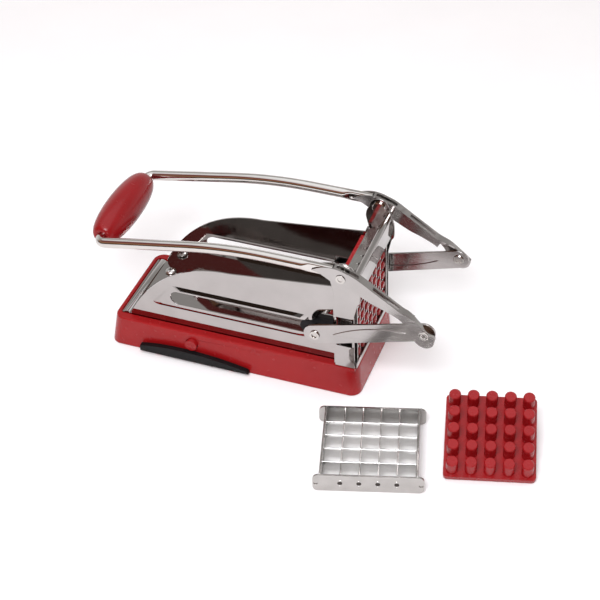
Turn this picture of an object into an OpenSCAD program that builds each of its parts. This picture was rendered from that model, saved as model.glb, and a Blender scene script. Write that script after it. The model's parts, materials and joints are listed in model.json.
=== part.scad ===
// French fry cutter: a lever-driven pusher forces a potato through a square grid of blades.
// X points out of the cutting end, Y to the left and Z up. The origin lies on the table,
// under the middle of the base. All sizes are millimetres.

/* [Base] */
// Length of the base at the table
base_len = 195; // [190:1:230]
// Height of the rim of the base
base_h = 25; // [23:0.5:40]
// How far the sides of the base lean in on their way up
base_draft = 1.5; // [1:0.25:2.5]
// How far the rear end of the base leans in on its way up
rear_draft = 4.2; // [2:0.2:5]
// Corner radius of the base, seen from above
base_corner_r = 8; // [6:0.5:14]
// Wall thickness of the base moulding
base_wall = 2.6; // [1.8:0.1:3.2]
// Round-over of the top edge of the base
rim_round = 1.4; // [0.5:0.1:1.8]
// Width of the rim along the sides and the front of the deck
rim_w = 6; // [5:0.25:7]
// Width of the rim behind the deck
rear_rim_w = 3; // [2.4:0.1:6]
// Gap between a side wall and the rim beside it
rim_gap = 0.7; // [0.4:0.1:1.5]
// Depth of the deck below the rim
deck_drop = 1.5; // [1:0.1:2.5]
// Radius of a rubber foot
foot_r = 6; // [4:0.5:8]
// Height of a rubber foot below its boss
foot_h = 2.5; // [1.5:0.25:4]
// Radius of the suction pad
pad_r = 30; // [24:0.5:32]
// Radius of the stem that pulls the suction pad
stem_r = 4; // [3:0.25:5]

/* [Suction lever] */
// Length of the suction lever along the base
lever_len = 85.5; // [60:0.5:100]
// Place of the middle of the suction lever along the base
lever_x = -28.4; // [-40:0.1:0]
// Height of the suction lever at its rear end
lever_rear_h = 7; // [6:0.25:9]
// Height of the suction lever at its tip
lever_tip_h = 4.6; // [4:0.1:6]
// Height that the arched back of the suction lever reaches for
lever_arch_h = 11.9; // [9:0.1:14]
// Thickness of the suction lever
lever_t = 3.7; // [3.4:0.1:4.2]
// Height of the hinge line of the suction lever
lever_hinge_z = 2.4; // [2.2:0.1:3]
// Radius of the hinge rod of the suction lever
hinge_rod_r = 0.8; // [0.6:0.05:0.9]
// Width of each hinge ear on the base
ear_w = 4; // [3:0.25:6]

/* [Release button] */
// Radius of the release button
button_r = 4.5; // [3.5:0.25:5]
// Height of the centre of the release button
button_z = 15.3; // [14.5:0.25:17]
// Travel of the release button
button_travel = 2.5; // [1.5:0.25:3]
// Place of the release button along the base
button_x = -31; // [-50:1:-10]

/* [Trough] */
// Thickness of the sheet metal of the walls and floor
sheet_t = 1; // [0.8:0.05:1.4]
// Height of the side walls above the deck at the middle of the base
wall_mid_h = 59.6; // [52:0.1:66]
// Height of the side walls above the deck at the cutting end
wall_front_h = 68.8; // [68:0.1:74]
// Distance of the rear end of the side walls from the rear rim
wall_inset = 8.8; // [1:0.1:12]
// Straight height of the rear end of a side wall
wall_rear_h = 3.5; // [1:0.5:8]
// Height of the slot centre line above the rim
slot_rise = 26; // [24:0.5:30]
// Width of the slot that guides the pusher
slot_w = 11.6; // [11:0.2:14]
// Distance of the rear end of the slot from the rear end of the wall
slot_inset = 34; // [30:0.5:37]
// Height that the slot gains where it flares upward at the cutting end
flare_rise = 14; // [7:0.5:15]
// Height of the pressed frame round the slot
emboss_h = 1.2; // [0.6:0.1:1.3]
// Width of the pressed frame below the slot
emboss_low_w = 5; // [4.4:0.1:6]
// Width of the pressed frame above the slot
emboss_top_w = 4; // [3.6:0.1:5]
// Width of the sloped sides of the pressed frame
emboss_slope = 2.8; // [1.5:0.1:3]
// Width of the front flange of a side wall
flange_w = 4.6; // [3:0.1:4.7]
// Radius of a floor screw head
screw_head_r = 4.25; // [3:0.25:5]
// Distance of the floor screws from the rear end of the walls
screw_inset = 7.5; // [5:0.5:14]
// Place of the floor screws from the middle
screw_y = 21; // [16:0.5:26]

/* [Cutting grid] */
// Side of the square opening of a grid
grid_open = 63.5; // [60:0.5:64]
// Depth of a grid along the push
grid_depth = 14.5; // [13:0.25:15]
// Thickness of the plates and bars of a grid
grid_plate_t = 1.5; // [1:0.1:1.8]
// Width of the end plates with their ears
grid_plate_w = 75; // [71:0.5:75]
// Cells along each side of the fitted grid
fine_cells = 7; // [6:1:8]
// Cells along each side of the spare grid
coarse_cells = 5; // [4:1:5]
// Thickness of a blade
blade_t = 0.7; // [0.4:0.05:0.9]
// Width of a blade along the push
blade_w = 12; // [9:0.5:12.5]
// Width of the tab at each end of a blade
blade_tab_w = 6; // [4:0.5:7]
// Distance of the rear face of the fitted grid from the front rim
grid_back = 10; // [9.5:0.25:12]

/* [Front frame] */
// Thickness of the cheek plates
cheek_t = 1.2; // [0.8:0.05:1.3]
// Width of the cheek plates along the base
cheek_w = 14.3; // [13:0.1:15]
// Radius of the cheek plates round the handle pivot
cheek_eye_r = 7.5; // [6:0.25:8]
// Thickness of the sill strap below the grid
sill_t = 1; // [0.8:0.1:1.5]
// Height of the front face of the top crossbar
crossbar_h = 17; // [10:0.5:18]
// Radius of the pivot rivets
rivet_r = 3; // [2.5:0.05:3.5]
// Radius of the rivet heads on the inner sides of the cheeks
rivet_head_r = 5; // [4:0.1:5.5]
// Radius of the small rivet heads in sight
small_head_r = 3.7; // [3.4:0.1:4.5]

/* [Pusher] */
// Thickness of the pusher plate
head_t = 3; // [2.5:0.1:3.5]
// Radius of a pin of the fitted pusher
fine_pin_r = 3; // [2.2:0.1:3.4]
// Length of the pins of the fitted pusher
fine_pin_len = 14.5; // [12:0.25:14.6]
// Radius of a pin of the spare pusher
coarse_pin_r = 4.1; // [3:0.1:5]
// Length of the pins of the spare pusher
coarse_pin_len = 12.8; // [10:0.2:20]
// Length of the two clips behind the fitted pusher's plate
clip_len = 7.3; // [5:0.1:7.4]
// Length of the two clips behind the spare pusher's plate
coarse_clip_len = 8; // [5:0.1:9]
// Place of the clips from the middle of the plate
clip_y = 19; // [15:0.5:21]
// Radius of the cross axle of the carriage
axle_r = 2.95; // [2.4:0.05:3.2]
// Radius of the spacer bush on the axle
bush_r = 3.9; // [3.6:0.1:4.2]
// Length of the slider shoes in the slots
shoe_len = 24; // [20:0.5:24]
// Half the height of the carriage plate behind the pusher
carriage_half_h = 19; // [16:0.5:21]
// Height of the carriage's side plates
cheek_plate_h = 20; // [18:0.5:24]

/* [Handle] */
// Place of the handle pivot forward of the rear face of the grid
pivot_dx = 7.3; // [6.5:0.1:8]
// Height of the handle pivot above the table
pivot_z = 111; // [109:0.5:116]
// Distance of the link pin forward of the handle pivot
crank_dx = 58.7; // [54:0.1:60]
// Distance of the link pin below the handle pivot
crank_dz = 34.5; // [33:0.1:37]
// Thickness of the plates of a handle arm
arm_plate_t = 1; // [0.8:0.05:1.1]
// Width of a handle arm across its two plates
arm_w = 6.5; // [6.3:0.1:7]
// Thickness of the web on top of a handle arm
arm_web_t = 1.2; // [0.8:0.1:1.3]
// Radius of the handle tube
tube_r = 3.75; // [3:0.05:4]
// Height of the handle tube at its front end above the pivot
tube_rise = 3.6; // [3:0.1:4]
// Slope of the rear stretch of the handle tube
tube_slope = 10.8; // [8:0.1:13]
// Length of the rear stretch of the handle tube
tube_rear_len = 65.5; // [40:0.5:70]
// Bend radius between the rear and front stretches of the handle tube
tube_bend_r = 320; // [250:5:400]
// Radius of the elbows beside the grip
elbow_r = 6; // [5:0.25:9]
// Largest radius of the grip
grip_r = 12.9; // [10:0.1:14]
// Radius of the grip at its ends
grip_end_r = 5; // [4.6:0.1:9]
// Clearance between the grip and the elbows
grip_gap = 0.3; // [0.1:0.1:1]

/* [Links] */
// Thickness of a link
link_t = 1.6; // [1.2:0.1:1.8]
// Radius of the front eye of a link
link_front_r = 7.3; // [6:0.1:7.6]
// Radius of the rear eye of a link
link_rear_r = 8.3; // [6:0.1:8.5]
// Length of the pressed rib of a link
link_rib_len = 55; // [40:1:60]
// Width of the pressed rib of a link
link_rib_w = 8; // [5:0.5:9]
// Height of the pressed rib of a link
link_rib_h = 0.7; // [0.3:0.1:0.8]
// Distance of the pusher axle behind the rear face of the grid
axle_back = 14; // [13.5:0.1:15]
// Height of the pusher axle above the centre line of the slots
axle_rise = 1.5; // [0:0.1:1.6]

/* [Spare set] */
// Place of the spare grid along the base
spare_grid_x = 123.8; // [115:1:140]
// Place of the spare grid across the base
spare_grid_y = -92.6; // [-110:1:-90]
// Turn of the spare grid
spare_grid_turn = 15.75; // [0:1:25]
// Place of the spare pusher along the base
spare_pusher_x = 199.9; // [198:0.1:215]
// Place of the spare pusher across the base
spare_pusher_y = -61.4; // [-75:0.1:-60]
// Turn of the spare pusher
spare_pusher_turn = 14.2; // [5:0.1:25]

/* [Clearances] */
// Play between a rivet and the hole that turns on it
turn_fit = 0.08; // [0.03:0.01:0.1]
// Play between a screw, pin or rivet and the hole that holds it
hold_fit = 0.05; // [0.02:0.01:0.08]
// Side gap between pieces that slide or swing past each other
side_gap = 0.3; // [0.2:0.05:0.5]
// Play of the pusher plate between the walls
head_play = 0.55; // [0.3:0.05:0.8]
// Play of the slider shoes in the slots
shoe_play = 0.3; // [0.2:0.05:0.5]
// Play of a grid in the front frame
grid_play = 0.2; // [0.1:0.05:0.4]

/* [Hidden] */
$fn = 64;
HULL_FN = 32;
TUBE_SIDES = 20;
STEPS = 4;
EPS = 0.01;
BIG = 400;
// Brings the corners of a flank just inside the round eye that it runs into
TANGENT_IN = 0.9995;

// Base
base_z0 = 0.5;
deck_z = base_h - deck_drop;
ceiling_z = deck_z - base_wall;
wall_in = grid_open / 2 + 0.15;
wall_out = wall_in + sheet_t;
pocket_w = 2 * (wall_out + rim_gap);
top_w = pocket_w + 2 * rim_w;
base_w = top_w + 2 * base_draft;
top_x0 = rear_draft - base_len / 2;
top_x1 = base_len / 2 - base_draft;
pocket_x0 = top_x0 + rear_rim_w;
pocket_x1 = top_x1 - rim_w;
pocket_round = 3;
rib_t = 1.8;
rib_z = ceiling_z - 7;
boss_r = foot_r + 0.5;
foot_x = base_len / 2 - 2 * foot_r - 1.5;
foot_y = base_w / 2 - foot_r - 5;
foot_stem_r = 2;
foot_stem_h = 4.5;
pad_ring_in = pad_r + 2;
pad_edge_t = 1.2;
pad_core_r = 10;
pad_core_h = 5;
stem_top_z = 17;
stem_guide_r = stem_r + 3;

// Suction lever and release button
lever_hinge_r = hinge_rod_r + 0.8;
lever_y = -(base_w / 2 + side_gap + lever_hinge_r);
lever_in_y = lever_y + lever_hinge_r - 0.2;
lever_out_y = lever_in_y - lever_t;
lever_x0 = lever_x - lever_len / 2;
lever_x1 = lever_x + lever_len / 2;
ear_xs = [lever_x0 + 14, lever_x1 - 14];
ear_r = hinge_rod_r + 0.45;
button_wall_y = -(base_w / 2 - base_draft * button_z / base_h);
button_face_y = button_wall_y - button_travel;
button_flange_r = button_r + 0.9;
button_flange_t = 1.2;
button_flange_y = button_wall_y + base_wall + 1.2;
button_stem_r = 1.5;
guide_y = button_flange_y + button_flange_t + button_travel + 1.3;

// Trough
grid_x = pocket_x1 - grid_back;
wall_rear_x = pocket_x0 + wall_inset;
slot_rear_x = wall_rear_x + slot_inset;
screw_x = wall_rear_x + screw_inset;
wall_sweep_low = [13.5, 26.5];
wall_sweep_high = [38, 0.2];
floor_top = deck_z + sheet_t;
wall_front_x = grid_x - 2 * grid_play;
slot_z = base_h + slot_rise;
slot_r = slot_w / 2;
slot_rear_c = slot_rear_x + slot_r;
flare_top = slot_z + slot_r + flare_rise;
flare_x0 = wall_front_x - 19.6;
flare_x1 = wall_front_x - 7.6;
floor_rear_x = pocket_x0 + 0.9;
floor_front_x = wall_front_x - 1.6;
bead_x = floor_rear_x + 4;
bead_r = 4;
bead_h = 1.2;
screw_r = 1.6;
screw_head_h = 1.8;
screw_len = 11;
screw_boss_r = 4;

// Grid
grid_z = base_h + sill_t + grid_play / 2;
grid_cz = grid_z + grid_plate_t + grid_open / 2;
grid_h = grid_open + 2 * grid_plate_t;
ear_round = 4;
dimple_r = 1.6;
dimple_depth = 0.5;
lap_gap = 0.05;

// Front frame
cheek_in = grid_plate_w / 2 + grid_play;
cheek_out = cheek_in + cheek_t;
cheek_x0 = wall_front_x + 0.1;
cheek_x1 = cheek_x0 + cheek_w;
sill_lip_x = grid_x + grid_depth + grid_play;
sill_lip_t = 0.8;
sill_lip_h = 3;
sill_screw_y = 16;
pivot = [grid_x + pivot_dx, pivot_z];
crossbar_t = 1.2;
crossbar_top = pivot_z - 4.8;
crossbar_x = grid_x + grid_depth + 0.9;
crossbar_w = crossbar_t + 3.9;
crossbar_flange_h = 5;
rivet_head_t = 1.3;
small_head_t = 0.6;

// Handle
crank = pivot + [crank_dx, -crank_dz];
arm_in = cheek_out + side_gap;
arm_mid = arm_in + arm_w / 2;
arm_out = arm_in + arm_w;
arm_rear_x = pivot[0] - 21.3;
tube_z = pivot_z + tube_rise;
tube_flat_x = arm_rear_x - 0.5;
tube_flat_len = 15.5;
tube_flat_w = arm_w - 2 * arm_plate_t - 0.2;
tube_flat_h = 8;
tube_flat_z = pivot_z + 3.3;
web_rear = -5.3;
web_front = -12.7;
plate_front = -18;
tube_pinch = 7;
tube_front_len = 23.5;
bend_x = tube_flat_x - tube_pinch - tube_front_len;
rear_top = [
    bend_x - tube_bend_r * sin(tube_slope),
    tube_z - tube_bend_r * (1 - cos(tube_slope))
];
elbow_end = rear_top - tube_rear_len * [cos(tube_slope), sin(tube_slope)];
slope_dir = [cos(tube_slope), 0, sin(tube_slope)];
slope_up = [-sin(tube_slope), 0, cos(tube_slope)];
grip_c = elbow_end - elbow_r * [cos(tube_slope), sin(tube_slope)];
grip_half = arm_mid - elbow_r - grip_gap;
grip_bore_r = tube_r + hold_fit;

// Links
axle = [grid_x - axle_back, slot_z + axle_rise];
link_vec = axle - crank;
link_len = norm(link_vec);
link_tilt = atan2(-link_vec[1], -link_vec[0]);
link_in = arm_in + arm_plate_t + side_gap;
link_out = link_in + link_t;
eye_head_t = 1.2;

// Pusher
head_half_w = wall_in - head_play;
head_x1 = wall_front_x + 0.1;
head_x0 = head_x1 - head_t;
clip_drop = 7;
clip_w = 4;
clip_h = 5;
carriage_t = 1.2;
carriage_x1 = head_x0 - side_gap;
carriage_x0 = carriage_x1 - carriage_t;
carriage_half_w = wall_in - 3.7;
cheek_plate_x0 = axle[0] - 12;
shoe_x1 = carriage_x1 - 0.4;
shoe_x0 = shoe_x1 - shoe_len;
shoe_half_h = slot_r - shoe_play;
shoe_out = wall_out + 0.7;
bush_in = shoe_out;
bush_out = link_in - side_gap - 0.35;
axle_half = link_in - side_gap - 0.1;

// Spare set
spare_head_t = 4;
plate_round = 3;
spare_tilt = atan(coarse_clip_len / (head_half_w - clip_drop));
spare_pusher_z = head_half_w * sin(spare_tilt) + 0.25;

// ---------- helpers ----------

// Value or point a share t of the way from a to b
function between(a, b, t) = a + (b - a) * t;

// Point on a cubic Bezier curve
function bezier(p, t) =
    pow(1 - t, 3) * p[0] + 3 * t * pow(1 - t, 2) * p[1]
    + 3 * t * t * (1 - t) * p[2] + pow(t, 3) * p[3];

// Point of a Catmull-Rom curve between b and c
function catmull(a, b, c, d, t) =
    0.5 * (2 * b + (c - a) * t + (2 * a - 5 * b + 4 * c - d) * t * t
    + (3 * b - a - 3 * c + d) * t * t * t);

// Smooth open curve through the points p
function smooth_open(p) = [
    for (i = [0 : len(p) - 2])
        for (k = [0 : STEPS - 1])
            catmull(p[max(i - 1, 0)], p[i], p[i + 1], p[min(i + 2, len(p) - 1)], k / STEPS),
    p[len(p) - 1]
];

// Draws its children on the left, and mirrored on the right
module both_sides() {
    children();
    mirror([0, 1, 0]) children();
}

// Extrudes an X-Z outline from y0 to y1
module side_plate(y0, y1) {
    translate([0, y1, 0]) rotate([90, 0, 0]) linear_extrude(y1 - y0) children();
}

// Cylinder along Y from y0 to y1, centred on the X-Z point p
module pin_y(p, r, y0, y1) {
    translate([p[0], y1, p[1]]) rotate([90, 0, 0]) cylinder(r = r, h = y1 - y0);
}

// Block between two opposite corners
module box(a, b) {
    translate(a) cube(b - a);
}

// Flat rectangle with round corners
module round_rect(l, w, r) {
    square([l - 2 * r, w], center = true);
    square([l, w - 2 * r], center = true);
    for (x = [-1, 1], y = [-1, 1]) translate([x * (l / 2 - r), y * (w / 2 - r)]) circle(r);
}

// ---------- base ----------

// Thin slice of the base from x0 to x1 at the height z
module base_layer(x0, x1, w, r, z) {
    translate([(x0 + x1) / 2, 0, z]) linear_extrude(EPS) round_rect(x1 - x0, w, r, $fn = HULL_FN);
}

// The same slice, narrowed by an inset on every side
module top_layer(inset, z) {
    base_layer(top_x0 + inset, top_x1 - inset, top_w - 2 * inset, base_corner_r - inset / 2, z);
}

module base_shell() {
    hull($fn = HULL_FN) {
        base_layer(-base_len / 2, base_len / 2, base_w, base_corner_r, base_z0);
        top_layer(0, base_h - rim_round - EPS);
        top_layer(0.13 * rim_round, base_h - 0.5 * rim_round);
        top_layer(0.5 * rim_round, base_h - 0.13 * rim_round);
        top_layer(rim_round, base_h - EPS);
    }
}

module base_cavity() {
    inner_r = base_corner_r - base_wall / 2;
    hull($fn = HULL_FN) {
        base_layer(base_wall - base_len / 2, base_len / 2 - base_wall, base_w - 2 * base_wall,
            inner_r, base_z0 - 1);
        base_layer(top_x0 + base_wall, top_x1 - base_wall, top_w - 2 * base_wall, inner_r, ceiling_z);
    }
}

module at_feet() {
    for (x = [-1, 1], y = [-1, 1]) translate([x * foot_x, y * foot_y, 0]) children();
}

module base_ribs() {
    for (x = [-1, 1]) {
        box([x * 48 - rib_t / 2, 2 - top_w / 2, rib_z], [x * 48 + rib_t / 2, top_w / 2 - 2, deck_z - 1]);
        box([x * 66 - rib_t / 2, 2 - top_w / 2, rib_z], [x * 66 + rib_t / 2, top_w / 2 - 2, deck_z - 1]);
    }
    for (y = [-1, 1]) {
        box([-foot_x, y * 12 - rib_t / 2, rib_z], [-pad_ring_in, y * 12 + rib_t / 2, deck_z - 1]);
        box([pad_ring_in, y * 12 - rib_t / 2, rib_z], [foot_x, y * 12 + rib_t / 2, deck_z - 1]);
    }
}

module base_bosses() {
    at_feet() translate([0, 0, foot_h]) cylinder(r = boss_r, h = deck_z - 1 - foot_h);
    for (y = [-1, 1]) translate([screw_x, y * screw_y, rib_z]) cylinder(r = screw_boss_r, h = base_wall + 6);
    translate([0, 0, rib_z - 2]) cylinder(r = stem_guide_r, h = deck_z + 1 - rib_z);
    difference() {
        translate([0, 0, pad_edge_t + 3]) cylinder(r = pad_ring_in + rib_t, h = deck_z - 5.2);
        translate([0, 0, pad_edge_t + 2]) cylinder(r = pad_ring_in, h = deck_z);
    }
    box([button_x - 5, guide_y, rib_z - 4], [button_x + 5, guide_y + rib_t, deck_z - 1]);
}

module hinge_ears() {
    for (x = ear_xs) {
        box([x - ear_w / 2, lever_y, lever_hinge_z - ear_r],
            [x + ear_w / 2, base_wall - base_w / 2 - 0.5, lever_hinge_z + ear_r]);
        translate([x - ear_w / 2, lever_y, lever_hinge_z]) rotate([0, 90, 0]) cylinder(r = ear_r, h = ear_w);
    }
}

module base_housing() {
    color("#B3262B") difference() {
        union() {
            difference() {
                base_shell();
                base_cavity();
            }
            base_ribs();
            base_bosses();
            hinge_ears();
            both_sides() box([cheek_x0 - 1, cheek_in - 2, deck_z - 1], [cheek_x1 + 0.4, top_w / 2 + 0.1, base_h]);
        }
        translate([(pocket_x0 + pocket_x1) / 2, 0, deck_z]) linear_extrude(deck_drop + 1)
            round_rect(pocket_x1 - pocket_x0, pocket_w, pocket_round);
        at_feet() translate([0, 0, base_z0]) cylinder(r = foot_stem_r + hold_fit, h = foot_h + foot_stem_h);
        for (y = [-1, 1]) {
            translate([screw_x, y * screw_y, rib_z - 1]) cylinder(r = screw_r + hold_fit, h = 30);
            translate([pivot[0], y * sill_screw_y, ceiling_z - 9]) cylinder(r = screw_r + hold_fit, h = 30);
        }
        translate([0, 0, base_z0]) cylinder(r = stem_r + hold_fit, h = stem_top_z - base_z0 + 0.5);
        translate([button_x, button_wall_y + base_wall + 2, button_z]) rotate([90, 0, 0])
            cylinder(r = button_r + side_gap, h = base_wall + 4);
        translate([button_x, guide_y + rib_t + 1, button_z]) rotate([90, 0, 0])
            cylinder(r = button_stem_r + side_gap, h = rib_t + 3);
        translate([lever_x0 - 1, lever_y, lever_hinge_z]) rotate([0, 90, 0])
            cylinder(r = hinge_rod_r + hold_fit, h = lever_len + 2);
    }
}

module rubber_feet() {
    color("#26262A") at_feet() {
        cylinder(r = foot_r, h = foot_h);
        cylinder(r = foot_stem_r, h = foot_h + foot_stem_h);
    }
}

// Rubber disc with a thin lip and a thick core
module suction_pad() {
    color("#303034") rotate_extrude() polygon([
        [0, 0], [pad_r, 0], [pad_r, pad_edge_t], [pad_core_r + 6, pad_edge_t + 1.2],
        [pad_core_r, pad_core_h], [0, pad_core_h]
    ]);
}

module pad_stem() {
    color("#B8B8BC") {
        translate([0, 0, pad_core_h]) cylinder(r = stem_r, h = stem_top_z - pad_core_h);
        translate([0, 0, pad_core_h]) cylinder(r = pad_core_r - 2, h = 1.2);
    }
}

module suction_hinge_rod() {
    color("#A8A8AC") translate([ear_xs[0] - 8, lever_y, lever_hinge_z]) rotate([0, 90, 0])
        cylinder(r = hinge_rod_r, h = ear_xs[1] - ear_xs[0] + 16);
}

// ---------- suction lever and release button ----------

// Side view of the lever above its hinge line: a low arched back with a round tip
module lever_outline() {
    back = [
        [lever_x0, lever_rear_h], [between(lever_x0, lever_x1, 0.23), lever_arch_h],
        [between(lever_x0, lever_x1, 0.6), lever_arch_h - 0.3], [lever_x1 - 1.5, lever_tip_h]
    ];
    polygon(concat(
        [[lever_x0, lever_hinge_z]],
        [for (k = [0 : 24]) bezier(back, k / 24)],
        [[lever_x1 - 0.3, lever_tip_h - 1], [lever_x1, lever_hinge_z]]
    ));
}

module suction_lever() {
    notch_r = ear_r + side_gap;
    color("#1C1C20") difference() {
        union() {
            side_plate(lever_out_y, lever_in_y) lever_outline();
            translate([lever_x0, lever_y, lever_hinge_z]) rotate([0, 90, 0])
                cylinder(r = lever_hinge_r, h = lever_len - 1);
        }
        for (x = ear_xs) {
            box([x - ear_w / 2 - side_gap, lever_y - notch_r, -1],
                [x + ear_w / 2 + side_gap, BIG, lever_hinge_z + notch_r]);
        }
        translate([ear_xs[0] - 9, lever_y, lever_hinge_z]) rotate([0, 90, 0])
            cylinder(r = hinge_rod_r + turn_fit, h = ear_xs[1] - ear_xs[0] + 18);
    }
}

module release_button() {
    color("#C02A30") translate([button_x, 0, button_z]) {
        pin_y([0, 0], button_r, button_face_y, button_flange_y + 0.4);
        pin_y([0, 0], button_flange_r, button_flange_y, button_flange_y + button_flange_t);
        pin_y([0, 0], button_stem_r, button_face_y, guide_y + rib_t);
    }
}

// ---------- trough ----------

module trough_floor() {
    color("#BFC0C4") difference() {
        union() {
            box([floor_rear_x, -wall_in, deck_z], [floor_front_x, wall_in, floor_top]);
            intersection() {
                pin_y([bead_x, floor_top + bead_h - bead_r], bead_r, -wall_in, wall_in);
                box([-BIG, -BIG, deck_z], [BIG, BIG, BIG]);
            }
        }
        for (y = [-1, 1]) translate([screw_x, y * screw_y, deck_z - 1]) cylinder(r = screw_r + hold_fit, h = 5);
    }
}

// Side view of a wall: a long swept back edge and a straight, rising top edge
module wall_outline() {
    top_mid = deck_z + wall_mid_h;
    sweep_z0 = deck_z + wall_rear_h;
    sweep = [
        [wall_rear_x, sweep_z0], [wall_rear_x, sweep_z0] + wall_sweep_low,
        [wall_rear_x + wall_sweep_high[0], top_mid - wall_sweep_high[1]], [0, top_mid]
    ];
    polygon(concat(
        [for (k = [0 : 24]) bezier(sweep, k / 24)],
        [[wall_front_x, deck_z + wall_front_h], [wall_front_x, deck_z], [wall_rear_x, deck_z]]
    ));
}

// Slot with a round rear end that flares upward at the cutting end
module slot_outline() {
    translate([slot_rear_c, slot_z]) circle(slot_r);
    polygon([
        [slot_rear_c, slot_z - slot_r], [wall_front_x + 1, slot_z - slot_r],
        [wall_front_x + 1, flare_top], [wall_front_x, flare_top], [flare_x1, flare_top - 1],
        [flare_x0, slot_z + slot_r], [slot_rear_c, slot_z + slot_r]
    ]);
}

// Outline of the leaf-shaped frame that is pressed outward round the slot
function leaf(inset) =
    let (
        low = slot_z - slot_r - emboss_low_w + inset,
        high = slot_z + slot_r + emboss_top_w - inset,
        tip = slot_rear_x - 15 + 1.6 * inset,
        front = flare_x0 - 2 - inset,
        closed = smooth_open([
            [tip, low + 2.2],
            [tip + 4.3, low + 6.5],
            [tip + 11.5, between(low, high, 0.72)],
            [tip + 15.2, high - 1.3],
            [tip + 19, high],
            [slot_rear_x + 30, high],
            [front - 30, high],
            [front - 3, high],
            [front, high - 4],
            [front, low + 4],
            [front - 3, low],
            [front - 30, low],
            [slot_rear_x + 20, low],
            [slot_rear_x - 3, low],
            [tip + 3.2, low + 0.2],
            [tip, low + 2.2]
        ])
    )
    [for (i = [0 : len(closed) - 2]) closed[i]];

// Solid with sloped sides between the leaf at y0 and a narrower leaf at y1
module pressing(y0, inset0, y1, inset1) {
    hull() {
        side_plate(y0, y0 + EPS) polygon(leaf(inset0));
        side_plate(y1 - EPS, y1) polygon(leaf(inset1));
    }
}

module wall() {
    color("#C6C7CB") difference() {
        union() {
            side_plate(wall_in, wall_out) wall_outline();
            pressing(wall_out - EPS, 0, wall_out + emboss_h, emboss_slope);
            box([wall_front_x - sheet_t, wall_out - EPS, base_h],
                [wall_front_x, wall_out + flange_w, deck_z + wall_front_h + 0.7]);
        }
        pressing(wall_in - EPS, sheet_t / 2, wall_in + emboss_h, emboss_slope + sheet_t / 2);
        side_plate(wall_in - 2, wall_out + emboss_h + 1) slot_outline();
        box([wall_front_x - sheet_t - 1, wall_in - 1, slot_z - slot_r],
            [wall_front_x + 1, wall_out + flange_w - 1.5, flare_top]);
    }
}

module left_wall() {
    wall();
}

module right_wall() {
    mirror([0, 1, 0]) wall();
}

// Pan-head screw with its head's underside at the origin
module pan_screw(head_r, shank_len) {
    rotate_extrude() polygon(concat(
        [[0, -shank_len], [screw_r, -shank_len], [screw_r, 0], [head_r, 0]],
        [for (a = [0 : 15 : 90]) [head_r * cos(a) * 0.45 + head_r * 0.55 * (1 - a / 90),
            0.4 + (screw_head_h - 0.4) * sin(a)]]
    ));
}

module floor_screws() {
    color("#D8D8DA") for (y = [-1, 1])
        translate([screw_x, y * screw_y, floor_top]) pan_screw(screw_head_r, screw_len);
}

// ---------- cutting grids ----------

// Grid pieces share one frame: x from the rear face along the push, y across, z up,
// with the centre of the square opening at y = 0, z = 0.

function blade_places(cells) = [for (i = [1 : cells - 1]) (i - cells / 2) * grid_open / cells];

module tab_slots(cells) {
    for (y = blade_places(cells))
        box([(grid_depth - blade_tab_w) / 2 - hold_fit, y - blade_t / 2 - hold_fit, -grid_h],
            [(grid_depth + blade_tab_w) / 2 + hold_fit, y + blade_t / 2 + hold_fit, grid_h]);
}

// Two flat plates with round ears that slide into the front frame
module end_plates(cells) {
    for (side = [-1, 1]) scale([1, 1, side]) difference() {
        translate([grid_depth / 2, 0, grid_open / 2]) linear_extrude(grid_plate_t)
            round_rect(grid_depth, grid_plate_w, ear_round);
        tab_slots(cells);
        for (y = [-1, 1])
            translate([grid_depth / 2, y * (grid_plate_w / 2 - 2.2), grid_open / 2 + grid_plate_t - dimple_depth])
                cylinder(r = dimple_r, h = 1);
    }
}

module side_bars(cells) {
    for (side = [-1, 1]) difference() {
        box([0, side * (grid_open / 2 + grid_plate_t / 2) - grid_plate_t / 2, -grid_open / 2],
            [grid_depth, side * (grid_open / 2 + grid_plate_t / 2) + grid_plate_t / 2, grid_open / 2]);
        rotate([90, 0, 0]) tab_slots(cells);
    }
}

// One set of upright blades, each with half-depth slots for the crossing set
module blade_set(cells, slots_in_front) {
    x0 = (grid_depth - blade_w) / 2;
    slot_x = slots_in_front ? grid_depth / 2 - lap_gap : x0 - 1;
    for (y = blade_places(cells)) difference() {
        union() {
            box([x0, y - blade_t / 2, -grid_open / 2], [x0 + blade_w, y + blade_t / 2, grid_open / 2]);
            box([(grid_depth - blade_tab_w) / 2, y - blade_t / 2, -grid_h / 2],
                [(grid_depth + blade_tab_w) / 2, y + blade_t / 2, grid_h / 2]);
        }
        for (z = blade_places(cells))
            box([slot_x, y - 1, z - blade_t / 2 - lap_gap],
                [slot_x + blade_w / 2 + 1 + lap_gap, y + 1, z + blade_t / 2 + lap_gap]);
    }
}

module vertical_blades(cells) {
    blade_set(cells, true);
}

module horizontal_blades(cells) {
    rotate([90, 0, 0]) blade_set(cells, false);
}

module fitted() {
    translate([grid_x, 0, grid_cz]) children();
}

// Lays a grid flat on the table beside the cutter, rear face down
module laid_flat() {
    translate([spare_grid_x, spare_grid_y, 0]) rotate([0, 0, spare_grid_turn - 90])
        rotate([0, -90, 0]) children();
}

module grid_end_plates() {
    color("#C9CACE") fitted() end_plates(fine_cells);
}

module grid_side_bars() {
    color("#C2C3C7") fitted() side_bars(fine_cells);
}

module grid_vertical_blades() {
    color("#D2D3D6") fitted() vertical_blades(fine_cells);
}

module grid_horizontal_blades() {
    color("#D2D3D6") fitted() horizontal_blades(fine_cells);
}

module spare_end_plates() {
    color("#C9CACE") laid_flat() end_plates(coarse_cells);
}

module spare_side_bars() {
    color("#C2C3C7") laid_flat() side_bars(coarse_cells);
}

module spare_vertical_blades() {
    color("#D2D3D6") laid_flat() vertical_blades(coarse_cells);
}

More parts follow.
